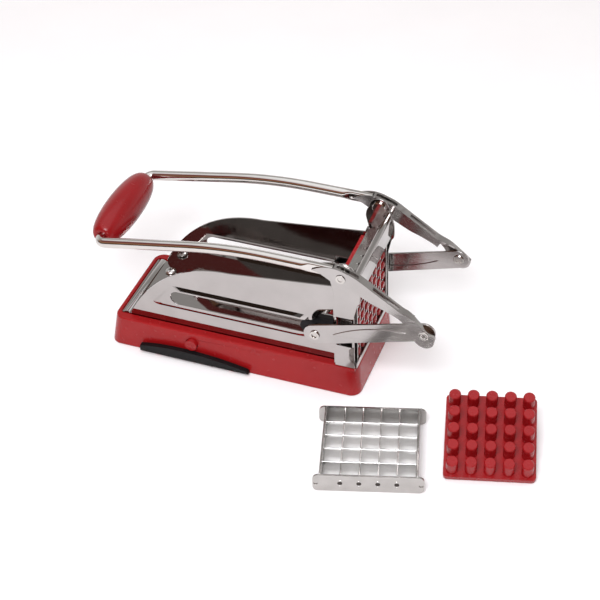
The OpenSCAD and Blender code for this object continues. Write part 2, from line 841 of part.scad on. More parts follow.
module spare_horizontal_blades() {
    color("#D2D3D6") laid_flat() horizontal_blades(coarse_cells);
}

// ---------- front frame ----------

// Upright plate beside the grid, with an ear at the handle pivot
module cheek() {
    window_z0 = slot_z - slot_r - 0.5;
    color("#C3C4C8") difference() {
        union() {
            side_plate(cheek_in, cheek_out) polygon(concat(
                [[cheek_x0, base_h], [cheek_x1, base_h]],
                smooth_open([
                    [cheek_x1, flare_top + 1.5], [cheek_x1 + 2.4, flare_top + 12.5],
                    [cheek_x1 + 4.5, pivot_z - 23], [cheek_x1 + 4.5, pivot_z - 13],
                    [cheek_x1 + 3, pivot_z - 8]
                ]),
                [[pivot[0] + 5, pivot_z + 4], [pivot[0] - 5, pivot_z + 4]],
                smooth_open([
                    [cheek_x0 - 1.6, pivot_z - 3], [cheek_x0 - 2.5, pivot_z - 8],
                    [cheek_x0 - 1.6, pivot_z - 13], [cheek_x0, pivot_z - 20]
                ])
            ));
            pin_y(pivot, cheek_eye_r, cheek_in, cheek_out);
        }
        pin_y(pivot, rivet_r + hold_fit, cheek_in - 1, cheek_out + 1);
        box([cheek_x0 + 1.3, cheek_in - 1, window_z0], [cheek_x1 - 1.5, cheek_out + 1, flare_top]);
    }
}

module left_cheek() {
    cheek();
}

module right_cheek() {
    mirror([0, 1, 0]) cheek();
}

// Strap under the grid with a lip that keeps the grid from sliding out
module sill_strap() {
    color("#BDBEC2") difference() {
        union() {
            box([grid_x, -cheek_in, base_h], [sill_lip_x + sill_lip_t, cheek_in, base_h + sill_t]);
            box([sill_lip_x, -cheek_in, base_h], [sill_lip_x + sill_lip_t, cheek_in, base_h + sill_t + sill_lip_h]);
        }
        for (y = [-1, 1]) translate([pivot[0], y * sill_screw_y, base_h - 1]) cylinder(r = screw_r + hold_fit, h = 4);
    }
}

// Folded bar that ties the cheeks together above the grid
module top_crossbar() {
    x1 = crossbar_x + crossbar_t;
    x0 = x1 - crossbar_w;
    color("#C7C8CC") {
        box([crossbar_x, -cheek_in, crossbar_top - crossbar_t - crossbar_h], [x1, cheek_in, crossbar_top]);
        box([x0, -cheek_in, crossbar_top - crossbar_t], [x1, cheek_in, crossbar_top]);
        box([x0, -cheek_in, crossbar_top - crossbar_t - crossbar_flange_h],
            [x0 + crossbar_t, cheek_in, crossbar_top]);
    }
}

module frame_screws() {
    color("#A9A9AD") for (y = [-1, 1])
        translate([pivot[0], y * sill_screw_y, ceiling_z]) mirror([0, 0, 1])
            pan_screw(rivet_r, base_h + sill_t - ceiling_z);
}

module pivot_rivets() {
    color("#DCDCDE") both_sides() {
        pin_y(pivot, rivet_r, cheek_in - side_gap, arm_out + side_gap + small_head_t);
        pin_y(pivot, rivet_head_r, cheek_in - 0.2 - rivet_head_t, cheek_in - 0.2);
        pin_y(pivot, small_head_r, arm_out + side_gap, arm_out + side_gap + small_head_t);
    }
}

// ---------- pusher ----------

function pin_places(cells) = [for (i = [0 : cells - 1]) (i - (cells - 1) / 2) * grid_open / cells];

// Plate with a field of pins in front and two clips behind; x = 0 at the plate's front face
module pusher_block(cells, plate_t, pin_r, pin_len, clip_l) {
    difference() {
        union() {
            translate([-plate_t, 0, 0]) rotate([90, 0, 90]) linear_extrude(plate_t)
                round_rect(2 * head_half_w, 2 * head_half_w, plate_round);
            for (y = pin_places(cells), z = pin_places(cells)) translate([-EPS, y, z]) rotate([0, 90, 0]) {
                cylinder(r = pin_r, h = pin_len - 0.8);
                translate([0, 0, pin_len - 0.8]) cylinder(r1 = pin_r, r2 = pin_r - 0.6, h = 0.8);
            }
            for (y = [-1, 1]) {
                box([-plate_t - clip_l, y * clip_y - clip_w / 2, -clip_drop - clip_h / 2],
                    [-plate_t, y * clip_y + clip_w / 2, -clip_drop + clip_h / 2]);
                box([-plate_t - clip_l, y * clip_y - clip_w / 2, -clip_drop - clip_h / 2],
                    [-plate_t - clip_l + 2, y * clip_y + clip_w / 2, -clip_drop + clip_h / 2 + 1.2]);
            }
        }
        for (y = [-1, 1]) translate([-plate_t - 2.5, y * clip_y, -clip_drop + clip_h / 2 + 2.2])
            rotate([0, 90, 0]) cylinder(r = 1.6, h = plate_t + 2.4);
    }
}

module pusher_head() {
    color("#C4242A") translate([head_x1, 0, grid_cz])
        pusher_block(fine_cells, head_t, fine_pin_r, fine_pin_len, clip_len);
}

module spare_pusher_head() {
    color("#C4242A") translate([spare_pusher_x, spare_pusher_y, spare_pusher_z])
        rotate([0, 0, spare_pusher_turn]) rotate([spare_tilt, 0, 0]) translate([0, 0, spare_head_t])
        rotate([0, 0, -90]) rotate([0, -90, 0])
        pusher_block(coarse_cells, spare_head_t, coarse_pin_r, coarse_pin_len, coarse_clip_len);
}

// Bent plate that carries the pusher head on the cross axle
module pusher_carriage() {
    clip_z = grid_cz - clip_drop;
    color("#B9BABE") difference() {
        union() {
            box([carriage_x0, -carriage_half_w, slot_z - carriage_half_h],
                [carriage_x1, carriage_half_w, slot_z + carriage_half_h]);
            both_sides() difference() {
                box([cheek_plate_x0, carriage_half_w - carriage_t, slot_z - cheek_plate_h / 2],
                    [carriage_x1, carriage_half_w, slot_z + cheek_plate_h / 2]);
                pin_y(axle, axle_r + hold_fit, carriage_half_w - 5, carriage_half_w + 5);
            }
        }
        for (y = [-1, 1])
            box([carriage_x0 - 1, y * clip_y - clip_w / 2 - side_gap, clip_z - clip_h / 2 - side_gap],
                [carriage_x1 + 1, y * clip_y + clip_w / 2 + side_gap, clip_z + clip_h / 2 + 1.2 + side_gap]);
    }
}

// Moulded blocks that guide the carriage in the slots of the walls
module slider_shoes() {
    color("#232226") both_sides() difference() {
        side_plate(carriage_half_w, shoe_out) union() {
            translate([shoe_x0 + shoe_half_h, slot_z]) circle(shoe_half_h);
            translate([shoe_x0 + shoe_half_h, slot_z - shoe_half_h]) square([shoe_len - shoe_half_h, 2 * shoe_half_h]);
        }
        pin_y(axle, axle_r + hold_fit, carriage_half_w - 1, shoe_out + 1);
    }
}

module pusher_axle() {
    color("#C8C8CC") pin_y(axle, axle_r, -axle_half, axle_half);
}

module axle_bushes() {
    color("#D0D0D4") both_sides() difference() {
        pin_y(axle, bush_r, bush_in, bush_out);
        pin_y(axle, axle_r + hold_fit, bush_in - 1, bush_out + 1);
    }
}

// ---------- handle ----------

// The handle tube is one swept skin. A station is [centre, direction, up, flatness],
// where flatness 0 is the round tube and 1 the end pressed flat between the arm's plates.

function flat_station(x, f) =
    [[x, arm_mid, between(tube_z, tube_flat_z, f)], [-1, 0, 0], [0, 0, 1], f];

function bend_station(a) = [
    [bend_x - tube_bend_r * sin(a), arm_mid, tube_z - tube_bend_r * (1 - cos(a))],
    [-cos(a), 0, -sin(a)], [-sin(a), 0, cos(a)], 0
];

function elbow_station(a) = [
    [elbow_end[0], arm_mid, elbow_end[1]] - elbow_r * sin(a) * slope_dir - [0, elbow_r * (1 - cos(a)), 0],
    -cos(a) * slope_dir - [0, sin(a), 0], slope_up, 0
];

// The same station on the right side, where the sweep runs forward
function mirrored(st) =
    [[st[0][0], -st[0][1], st[0][2]], [-st[1][0], st[1][1], -st[1][2]], st[2], st[3]];

function ease(t) = t * t * (3 - 2 * t);

side_stations = concat(
    [flat_station(tube_flat_x + tube_flat_len, 1)],
    [for (k = [0 : 5]) flat_station(tube_flat_x - tube_pinch * k / 5, ease(1 - k / 5))],
    [for (k = [0 : 8]) bend_station(tube_slope * k / 8)],
    [for (k = [0 : 9]) elbow_station(10 * k)]
);
tube_stations = concat(
    side_stations,
    [for (i = [len(side_stations) - 1 : -1 : 0]) mirrored(side_stations[i])]
);

// Round section that turns into a flat one with round corners
function section_point(st, a) =
    let (
        power = between(1, 0.45, st[3]),
        wide = between(tube_r, tube_flat_w / 2, st[3]),
        high = between(tube_r, tube_flat_h / 2, st[3]),
        across = sign(cos(a)) * pow(abs(cos(a)), power) * wide,
        along_up = sign(sin(a)) * pow(abs(sin(a)), power) * high
    )
    st[0] + cross(st[2], st[1]) * across + st[2] * along_up;

// Closed skin through the sections of all stations
module swept_skin(stations, n) {
    last = len(stations) - 1;
    polyhedron(
        points = [for (st = stations) for (k = [0 : n - 1]) section_point(st, 360 * k / n)],
        faces = concat(
            [[for (k = [0 : n - 1]) k]],
            [for (i = [0 : last - 1]) for (k = [0 : n - 1])
                [i * n + k, (i + 1) * n + k, (i + 1) * n + (k + 1) % n]],
            [for (i = [0 : last - 1]) for (k = [0 : n - 1])
                [i * n + k, (i + 1) * n + (k + 1) % n, i * n + (k + 1) % n]],
            [[for (k = [n - 1 : -1 : 0]) last * n + k]]
        )
    );
}

module handle_tube() {
    color("#CFCFD3") swept_skin(tube_stations, TUBE_SIDES);
}

// Full barrel with round ends, turned on the cross-piece
module grip() {
    outer = [for (k = [-12 : 12]) let (a = 90 * k / 12)
        [grip_end_r + (grip_r - grip_end_r) * pow(cos(a), 0.9), sin(a) * grip_half]];
    color("#B4262C") translate([grip_c[0], 0, grip_c[1]]) rotate([90, 0, 0]) rotate_extrude()
        polygon(concat([[grip_bore_r, -grip_half]], outer, [[grip_bore_r, grip_half]]));
}

arm_top = smooth_open([
    pivot + [-20.7, 3.2], pivot + [-16.3, 5.6], pivot + [-11.7, 7], pivot + [-6.3, 7.8],
    pivot + [-0.3, 7], pivot + [4.5, 5.3], pivot + [11.2, 2.4], pivot + [24.6, -6.7],
    pivot + [34.7, -13.5], crank + [-16, 15.6], crank + [-7.5, 11.6], crank + [0.5, 5.3], crank + [8, -1.3]
]);
arm_nose = smooth_open([
    crank + [8, -1.3], crank + [7.4, -5], crank + [5.8, -8.4], crank + [1.7, -10.6],
    crank + [-2.4, -9.8], crank + [-6, -7], crank + [-8.7, -2.8], crank + [-10.7, 2],
    crank + [-13.5, 6.3], crank + [-18.5, 10.5], pivot + [30.7, -19.4], pivot + [21.9, -15.9],
    pivot + [11.7, -10.3], pivot + [6.7, -8], pivot + [-0.3, -6.6], pivot + [-4.8, -5],
    pivot + [-9.2, -2], pivot + [-14.6, 1.2]
]);

// Inside of the arm: everything below the web on its upper edge
module arm_inside() {
    shift = arm_web_t * [-0.55, -0.93];
    inner = [for (p = arm_top) p + shift];
    end = inner[len(inner) - 1];
    polygon(concat([[inner[0][0] - 9, inner[0][1]]], inner, [[end[0], 0], [inner[0][0] - 9, 0]]));
}

// Box from y0 to y1 that takes away the arm's nose beyond a distance along the arm from the link pin
module nose_cut(along, y0, y1) {
    translate([crank[0], 0, crank[1]]) rotate([0, atan2(crank_dz, crank_dx), 0])
        box([along, y0, -BIG], [BIG, y1, BIG]);
}

// Stamped channel, open below, that runs out into a single plate round the link pin
module arm() {
    color("#C4C5C9") difference() {
        side_plate(arm_in, arm_out) polygon(concat(arm_top, arm_nose));
        side_plate(arm_in + arm_plate_t, arm_out - arm_plate_t) arm_inside();
        box([-BIG, arm_in + arm_plate_t, 0], [pivot[0] + web_rear, arm_out - arm_plate_t, BIG]);
        nose_cut(plate_front, arm_in - 1, arm_in + arm_plate_t + EPS);
        nose_cut(web_front, arm_in - 1, arm_out - arm_plate_t);
        pin_y(pivot, rivet_r + turn_fit, arm_in - 1, arm_out + 1);
        pin_y(crank, rivet_r + hold_fit, arm_in - 1, arm_out + 1);
        box([pivot[0] - 3.4, arm_mid - 1.4, pivot_z - 9], [pivot[0] + 12, arm_mid + 1.4, pivot_z + 20]);
        box([pivot[0] + 22, arm_mid - 1.4, crank[1] + 5], [pivot[0] + 40.4, arm_mid + 1.4, pivot_z + 20]);
    }
}

module left_arm() {
    arm();
}

module right_arm() {
    mirror([0, 1, 0]) arm();
}

module link_rivets() {
    color("#DCDCDE") both_sides() {
        pin_y(crank, rivet_r, link_in - 0.7, arm_out + small_head_t);
        pin_y(crank, small_head_r, arm_out, arm_out + small_head_t);
        pin_y(crank, small_head_r, link_in - 0.1 - small_head_t, link_in - 0.1);
        pin_y(crank, small_head_r + 0.6, link_out + 0.1, arm_out - arm_plate_t);
    }
}

// ---------- links ----------

// Places its children with the link pin at the origin and the link along +x
module along_link() {
    translate([crank[0], 0, crank[1]]) rotate([0, -link_tilt, 0]) rotate([0, 180, 0]) children();
}

module link_rib(inset) {
    half = link_rib_len / 2 - 2 * inset;
    wide = link_rib_w / 2 - inset;
    r = (half * half + wide * wide) / (2 * wide);
    translate([link_len / 2, 0]) intersection() {
        translate([0, wide - r]) circle(r, $fn = 128);
        translate([0, r - wide]) circle(r, $fn = 128);
    }
}

module link() {
    lean = (link_rear_r - link_front_r) / link_len;
    side = TANGENT_IN * [-lean, sqrt(1 - lean * lean)];
    under = [side[0], -side[1]];
    color("#CACBCF") along_link() difference() {
        union() {
            side_plate(link_in, link_out) union() {
                circle(link_front_r);
                translate([link_len, 0]) circle(link_rear_r);
                polygon([
                    link_front_r * side, link_front_r * under,
                    [link_len, 0] + link_rear_r * under, [link_len, 0] + link_rear_r * side
                ]);
            }
            side_plate(link_out - EPS, link_out + link_rib_h) link_rib(0);
        }
        side_plate(link_in - 1, link_in + link_rib_h) link_rib(0.8);
        pin_y([0, 0], rivet_r + turn_fit, link_in - 1, link_out + 1);
        pin_y([link_len, 0], rivet_r + hold_fit, link_in - 1, link_out + 1);
    }
}

module left_link() {
    link();
}

module right_link() {
    mirror([0, 1, 0]) link();
}

module link_eye_rivets() {
    color("#DCDCDE") both_sides() {
        pin_y(axle, rivet_r, link_in, link_out + 0.5);
        pin_y(axle, small_head_r, link_out, link_out + eye_head_t);
    }
}

base_housing();
rubber_feet();
suction_pad();
pad_stem();
suction_hinge_rod();
trough_floor();
left_wall();
right_wall();
floor_screws();
left_cheek();
right_cheek();
sill_strap();
top_crossbar();
frame_screws();
pivot_rivets();
grid_end_plates();
grid_side_bars();
grid_vertical_blades();
grid_horizontal_blades();
pusher_head();
pusher_carriage();
slider_shoes();
pusher_axle();
axle_bushes();
handle_tube();
left_arm();
right_arm();
grip();
link_rivets();
left_link();
right_link();
link_eye_rivets();
suction_lever();
release_button();
spare_end_plates();
spare_side_bars();
spare_vertical_blades();
spare_horizontal_blades();
spare_pusher_head();
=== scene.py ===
"""Looks of a french fry cutter: chromed sheet, red moulded plastic and steel grids.

Sizes are in millimetres, and MM turns them into the frame's metres. X runs out of the cutting end, and Z up.
"""
import json
import math

import bmesh
import bpy
from mathutils import Matrix, Vector


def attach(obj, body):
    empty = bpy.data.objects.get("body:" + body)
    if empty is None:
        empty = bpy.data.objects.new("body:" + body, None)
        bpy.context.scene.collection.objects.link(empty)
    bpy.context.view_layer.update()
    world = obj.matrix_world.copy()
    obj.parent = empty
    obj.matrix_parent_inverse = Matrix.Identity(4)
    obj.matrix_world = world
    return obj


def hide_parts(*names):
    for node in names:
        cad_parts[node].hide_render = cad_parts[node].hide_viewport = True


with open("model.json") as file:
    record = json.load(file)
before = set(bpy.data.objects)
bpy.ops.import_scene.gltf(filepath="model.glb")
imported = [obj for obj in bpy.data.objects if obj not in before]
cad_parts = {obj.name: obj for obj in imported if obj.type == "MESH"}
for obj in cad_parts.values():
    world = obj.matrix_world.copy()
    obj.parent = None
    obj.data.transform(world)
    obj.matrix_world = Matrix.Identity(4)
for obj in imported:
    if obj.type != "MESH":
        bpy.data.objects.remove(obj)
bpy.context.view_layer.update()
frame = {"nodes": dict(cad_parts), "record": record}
scene = bpy.context.scene
MM = 0.001
# Nearly all noise values lie between these
NOISE_LOW, NOISE_HIGH = 0.3, 0.7
# A Mix node's colour sockets, which share their names with its other sockets
MIX_FACTOR, MIX_A, MIX_B, MIX_RESULT = 0, 6, 7, 2


# ---------- colours and material nodes ----------

def colour(hex_code):
    """sRGB hex to linear RGBA."""
    channels = [int(hex_code[i:i + 2], 16) / 255 for i in (1, 3, 5)]
    return tuple(c / 12.92 if c <= 0.04045 else ((c + 0.055) / 1.055) ** 2.4 for c in channels) + (1.0,)


def add(tree, kind, inputs=None, **settings):
    """Adds a node, sets its settings, and fills or links its inputs."""
    node = tree.nodes.new(kind)
    for name, value in settings.items():
        setattr(node, name, value)
    for name, value in (inputs or {}).items():
        if isinstance(value, bpy.types.NodeSocket):
            tree.links.new(value, node.inputs[name])
        else:
            node.inputs[name].default_value = value
    return node


def new_material(name, **shader_inputs):
    """A material with an empty tree but for its Principled shader."""
    material = bpy.data.materials.new(name)
    material.use_nodes = True
    tree = material.node_tree
    tree.nodes.clear()
    shader = add(tree, "ShaderNodeBsdfPrincipled", shader_inputs)
    add(tree, "ShaderNodeOutputMaterial", {"Surface": shader.outputs["BSDF"]})
    place = add(tree, "ShaderNodeTexCoord").outputs["Object"]
    return material, tree, shader, place


def noise(tree, place, size_mm, detail=3.0, stretch=(1, 1, 1)):
    """Noise whose blobs are about size_mm across, stretched along an axis by 1 / stretch."""
    mapped = add(tree, "ShaderNodeMapping", {"Vector": place, "Scale": stretch}).outputs["Vector"]
    return add(tree, "ShaderNodeTexNoise",
               {"Vector": mapped, "Scale": 1 / (size_mm * MM), "Detail": detail}).outputs["Fac"]


def spread(tree, value, low, high):
    """Maps a noise value to the range low to high."""
    return add(tree, "ShaderNodeMapRange",
               {"Value": value, "From Min": NOISE_LOW, "From Max": NOISE_HIGH,
                "To Min": low, "To Max": high}).outputs["Result"]


def tint(tree, factor, low, high):
    """Colour between two hex colours."""
    ramp = add(tree, "ShaderNodeValToRGB", {"Fac": factor})
    for stop, position, hex_code in zip(ramp.color_ramp.elements, (NOISE_LOW, NOISE_HIGH), (low, high)):
        stop.position, stop.color = position, colour(hex_code)
    return ramp.outputs["Color"]


def bump(tree, height, depth_mm, strength=1.0):
    """Normal of a surface that rises by depth_mm where height is 1."""
    return add(tree, "ShaderNodeBump",
               {"Height": height, "Distance": depth_mm * MM, "Strength": strength}).outputs["Normal"]


def link(tree, value, shader, socket):
    """Joins an output to one of the shader's inputs."""
    tree.links.new(value, shader.inputs[socket])


def moulded_abs(name, low, high, rough_low, rough_high):
    """Injection-moulded ABS: glossy, with a faintly uneven skin. Its ripple is drawn wider than real, so it shows."""
    material, tree, shader, place = new_material(name, **{"IOR": 1.5, "Specular IOR Level": 0.3})
    link(tree, tint(tree, noise(tree, place, 18), low, high), shader, "Base Color")
    link(tree, spread(tree, noise(tree, place, 6), rough_low, rough_high), shader, "Roughness")
    link(tree, bump(tree, noise(tree, place, 5, detail=1.0), 0.05, strength=0.04), shader, "Normal")
    return material


def polished_chrome(name, low, high, rough_low, rough_high, wave_mm=0.02):
    """Chrome-plated steel: a mirror with the faint waves of rolled sheet, and streaks from polishing along x."""
    material, tree, shader, place = new_material(name, Metallic=1.0)
    link(tree, tint(tree, noise(tree, place, 20), low, high), shader, "Base Color")
    streaks = noise(tree, place, 2.2, stretch=(0.15, 1, 1))
    link(tree, spread(tree, streaks, rough_low, rough_high), shader, "Roughness")
    link(tree, bump(tree, noise(tree, place, 24), wave_mm), shader, "Normal")
    return material


def satin_steel(name, low, high, rough_low, rough_high, stretch):
    """Stainless strip with rolling lines along its length, drawn 0.5 mm wide, because real ones are too fine."""
    material, tree, shader, place = new_material(name, Metallic=1.0)
    link(tree, tint(tree, noise(tree, place, 9), low, high), shader, "Base Color")
    lines = noise(tree, place, 0.5, stretch=stretch)
    link(tree, spread(tree, lines, rough_low, rough_high), shader, "Roughness")
    link(tree, bump(tree, lines, 0.004), shader, "Normal")
    return material


def matte_moulding(name, low, high, gloss=0.5):
    """Black rubber or nylon from a spark-eroded mould, which leaves a dull grain about 0.5 mm wide."""
    material, tree, shader, place = new_material(name, **{"IOR": 1.5, "Specular IOR Level": gloss})
    link(tree, tint(tree, noise(tree, place, 6), low, high), shader, "Base Color")
    link(tree, spread(tree, noise(tree, place, 1), 0.42, 0.6), shader, "Roughness")
    link(tree, bump(tree, noise(tree, place, 0.5), 0.03), shader, "Normal")
    return material


# ABS, injection moulded in a polished tool: deep red, with soft highlights along the rounded edges
HOUSING_RED = moulded_abs("housing_abs", "#921215", "#981518", 0.22, 0.28)
# The same ABS in a darker batch: shaded red between the pins, paler on their ends
PUSHER_RED = moulded_abs("pusher_abs", "#8E1115", "#951519", 0.22, 0.3)
# The same ABS as a hollow grip: one long highlight
GRIP_RED = moulded_abs("grip_abs", "#841115", "#8A1418", 0.22, 0.28)
# Nylon, injection moulded: near black, with hardly any shine
LEVER_BLACK = matte_moulding("lever_nylon", "#0A0A0B", "#101012", 0.2)
# Synthetic rubber, pressed in a mould: dark grey and dull
FOOT_BLACK = matte_moulding("foot_rubber", "#1E1E20", "#2A2A2E")
# Mild steel sheet, polished flat and chrome plated: warm grey mirrors that show dark rooms and white tables
SHEET_CHROME = polished_chrome("sheet_chrome", "#ABA7A5", "#B3AFAD", 0.03, 0.08)
# Steel stampings, tumbled before chrome plating: the same grey, with blurred reflections
STAMPED_CHROME = polished_chrome("stamped_chrome", "#ABA7A5", "#B3AFAD", 0.14, 0.2)
# Steel tube, buffed and chrome plated: bright bands along its length
TUBE_CHROME = polished_chrome("tube_chrome", "#C6C2BE", "#D0CCC8", 0.03, 0.07, 0.01)
# Steel rivets, chrome plated and then headed: small soft glints
RIVET_CHROME = polished_chrome("rivet_chrome", "#BAB6B2", "#C6C2BE", 0.06, 0.14, 0.01)
# Stainless strip, rolled and punched: pale satin grey
GRID_STEEL = satin_steel("grid_strip", "#A9A6A3", "#B4B1AE", 0.14, 0.26, (1, 0.1, 1))
# Stainless blade strip, rolled bright, and painted near white, paler than the grid's strip, as painted light: it
# passes light on from blade to blade so the shaded cells show bright
BLADE_STEEL_PAINTED_BRIGHT = satin_steel("blade_strip_painted_light", "#ECEAE8", "#F4F2F0", 0.05, 0.1, (0.1, 0.1, 1))
# Steel screws, zinc plated: dull silver
SCREW_STEEL = satin_steel("screw_steel", "#BEBCBA", "#D0CECC", 0.18, 0.3, (1, 1, 1))
# Steel painted dark and dull: painted shade for the gaps round the punched tabs, whose hollows trap the light
TAB_GAP_SHADE = satin_steel("tab_gap_painted_shade", "#3C3835", "#4A4542", 0.3, 0.45, (1, 1, 1))

SLOT_MATERIALS = {
    "red_housing": HOUSING_RED,
    "red_pusher": PUSHER_RED,
    "red_grip": GRIP_RED,
    "black_plastic": LEVER_BLACK,
    "black_rubber": FOOT_BLACK,
    "chrome_sheet": SHEET_CHROME,
    "chrome_tube": TUBE_CHROME,
    "rivet_steel": RIVET_CHROME,
    "grid_steel": GRID_STEEL,
    "blade_steel": BLADE_STEEL_PAINTED_BRIGHT,
    "screw_steel": SCREW_STEEL,
}
NODE_MATERIALS = {node: STAMPED_CHROME for node in ("left_arm", "right_arm", "left_link", "right_link")}


# ---------- CAD nodes ----------

# Width in mm, segments and least angle in degrees of a bevel
EDGE_ROUND = (0.25, 2, 32)
WALL_ROUND = (0.45, 3, 12)
# The housing's rounds are in its mesh
NODE_ROUNDS = {"left_wall": WALL_ROUND, "right_wall": WALL_ROUND, "base_housing": None}
WELD_MM = 0.002


def dress(node, material, edge_round):
    """Gives a CAD node its material, and softens its edges without touching its mesh."""
    obj = frame["nodes"][node]
    obj.data.materials.clear()
    obj.data.materials.append(material)
    weld = obj.modifiers.new("weld", "WELD")
    weld.merge_threshold = WELD_MM * MM
    if edge_round:
        width, segments, angle = edge_round
        bevel = obj.modifiers.new("edges", "BEVEL")
        bevel.width = width * MM
        bevel.segments = segments
        bevel.limit_method = "ANGLE"
        bevel.angle_limit = math.radians(angle)
        bevel.harden_normals = True


for part in frame["record"]["subparts"]:
    node = part["node"]
    material = NODE_MATERIALS.get(node, SLOT_MATERIALS[part["material_slot"]])
    dress(node, material, NODE_ROUNDS.get(node, EDGE_ROUND))


# ---------- new meshes ----------

PIECE_SHARP_ANGLE = 30
TURNED_SHARP_ANGLE = 35


def shade(mesh, sharp_angle):
    """Smooth shading, but for edges at or above an angle in degrees."""
    mesh.shade_smooth()
    mesh.set_sharp_from_angle(angle=math.radians(sharp_angle))


def new_piece(name, vertices, faces, material, body):
    """A mesh piece with its place in its mesh, which rides on a body."""
    mesh = bpy.data.meshes.new(name)
    mesh.from_pydata([tuple(v) for v in vertices], [], faces)
    mesh.validate()
    mesh.materials.append(material)
    shade(mesh, PIECE_SHARP_ANGLE)
    piece = bpy.data.objects.new(name, mesh)
    scene.collection.objects.link(piece)
    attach(piece, body)
    return piece


def face_outwards(piece):
    """Turns all faces of a closed piece to the outside."""
    shell = bmesh.new()
    shell.from_mesh(piece.data)
    bmesh.ops.recalc_face_normals(shell, faces=shell.faces)
    shell.to_mesh(piece.data)
    shell.free()


def ways_along(path):
    """Direction of a path in a plane at each of its points."""
    ways = []
    for i in range(len(path)):
        before, after = path[max(i - 1, 0)], path[min(i + 1, len(path) - 1)]
        ways.append(Vector((after[0] - before[0], after[1] - before[1])).normalized())
    return ways


# ---------- pivots of the linkage, in the middle plane ----------

ARM_PIVOT = (87.3, 0, 111.0)
CRANK_PIN = (146.0, 0, 76.5)
PUSHER_AXLE = (66.0, 0, 52.5)


# ---------- handle tube ----------

ARM_MID_Y = 42.45
TUBE_R = 3.75
TUBE_Z = ARM_PIVOT[2] + 3.6
FLAT_START_X = 65.5
FLAT_END_X = 81.0
FLAT_Z = ARM_PIVOT[2] + 3.3
FLAT_HALF_W = 2.15
FLAT_HALF_H = 4.0
PINCH_LEN = 7.0
BEND_X = 35.0
BEND_R = 320.0
BEND_ANGLE = math.radians(10.8)
SLOPE_LEN = 65.5
ELBOW_R = 6.0
TUBE_SIDES = 48
PINCH_STEPS = 12
BEND_STEPS = 24
ELBOW_STEPS = 16
# Exponent on a flattened section's sine and cosine: 1 gives an ellipse, near 0 a rectangle
FLAT_POWER = 0.45


def ease(t):
    """Smooth step from 0 to 1."""
    return t * t * (3 - 2 * t)


def tube_stations():
    """Centre, way along, up and flatness of the tube's sections, from the left arm round to the right one."""
    slope = Vector((math.cos(BEND_ANGLE), 0, math.sin(BEND_ANGLE)))
    slope_up = Vector((-math.sin(BEND_ANGLE), 0, math.cos(BEND_ANGLE)))
    ahead, upright = Vector((-1, 0, 0)), Vector((0, 0, 1))
    stations = [(Vector((FLAT_END_X, ARM_MID_Y, FLAT_Z)), ahead, upright, 1.0)]
    for step in range(PINCH_STEPS + 1):
        flatness = ease(1 - step / PINCH_STEPS)
        x = FLAT_START_X - PINCH_LEN * step / PINCH_STEPS
        middle = Vector((x, ARM_MID_Y, TUBE_Z + (FLAT_Z - TUBE_Z) * flatness))
        stations.append((middle, ahead, upright, flatness))
    for step in range(BEND_STEPS + 1):
        angle = BEND_ANGLE * step / BEND_STEPS
        middle = Vector((BEND_X - BEND_R * math.sin(angle), ARM_MID_Y, TUBE_Z - BEND_R * (1 - math.cos(angle))))
        along = Vector((-math.cos(angle), 0, -math.sin(angle)))
        stations.append((middle, along, Vector((-math.sin(angle), 0, math.cos(angle))), 0.0))
    elbow = stations[-1][0] - slope * SLOPE_LEN
    for step in range(ELBOW_STEPS + 1):
        angle = math.radians(90) * step / ELBOW_STEPS
        middle = elbow - slope * ELBOW_R * math.sin(angle) - Vector((0, ELBOW_R * (1 - math.cos(angle)), 0))
        along = -slope * math.cos(angle) - Vector((0, math.sin(angle), 0))
        stations.append((middle, along, slope_up, 0.0))
    other_side = [
        (Vector((p.x, -p.y, p.z)), Vector((-d.x, d.y, -d.z)), up, flatness)
        for p, d, up, flatness in reversed(stations)
    ]
    return stations + other_side


def section_point(station, turn):
    """Point of a round section, or of a flattened one with round corners."""
    middle, along, up, flatness = station
    power = 1 + (FLAT_POWER - 1) * flatness
    half_w = TUBE_R + (FLAT_HALF_W - TUBE_R) * flatness
    half_h = TUBE_R + (FLAT_HALF_H - TUBE_R) * flatness
    across = math.copysign(abs(math.cos(turn)) ** power, math.cos(turn)) * half_w
    rise = math.copysign(abs(math.sin(turn)) ** power, math.sin(turn)) * half_h
    return (middle + up.cross(along) * across + up * rise) * MM


def make_tube():
    """Bent handle tube, pinched flat at both ends to go between the arms' plates."""
    stations = tube_stations()
    points = [section_point(s, 2 * math.pi * k / TUBE_SIDES) for s in stations for k in range(TUBE_SIDES)]
    rings = len(stations)
    faces = [tuple(range(TUBE_SIDES))[::-1]]
    for i in range(rings - 1):
        for k in range(TUBE_SIDES):
            after = (k + 1) % TUBE_SIDES
            low, high = i * TUBE_SIDES, (i + 1) * TUBE_SIDES
            faces.append((low + k, low + after, high + after, high + k))
    faces.append(tuple((rings - 1) * TUBE_SIDES + k for k in range(TUBE_SIDES)))
    tube = new_piece("bent_tube", points, faces, TUBE_CHROME, "handle_lever")
    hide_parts("handle_tube")


make_tube()


# ---------- turned pieces, set in place by geometry nodes ----------

def lathe(name, profile, sides=40):
    """Mesh turned about z from pairs of radius and height in mm; its first and last radius are 0."""
    rings = profile[1:-1]
    points = [(0, 0, profile[0][1] * MM)]
    for radius, height in rings:
        for k in range(sides):
            turn = 2 * math.pi * k / sides
            points.append((radius * math.cos(turn) * MM, radius * math.sin(turn) * MM, height * MM))
    points.append((0, 0, profile[-1][1] * MM))
    faces = [(0, 1 + (k + 1) % sides, 1 + k) for k in range(sides)]
    for i in range(len(rings) - 1):
        low, high = 1 + i * sides, 1 + (i + 1) * sides
        faces += [(low + k, low + (k + 1) % sides, high + (k + 1) % sides, high + k) for k in range(sides)]
    last = 1 + (len(rings) - 1) * sides
    faces += [(last + k, last + (k + 1) % sides, len(points) - 1) for k in range(sides)]
    mesh = bpy.data.meshes.new(name)
    mesh.from_pydata(points, [], faces)
    shade(mesh, TURNED_SHARP_ANGLE)
    return mesh


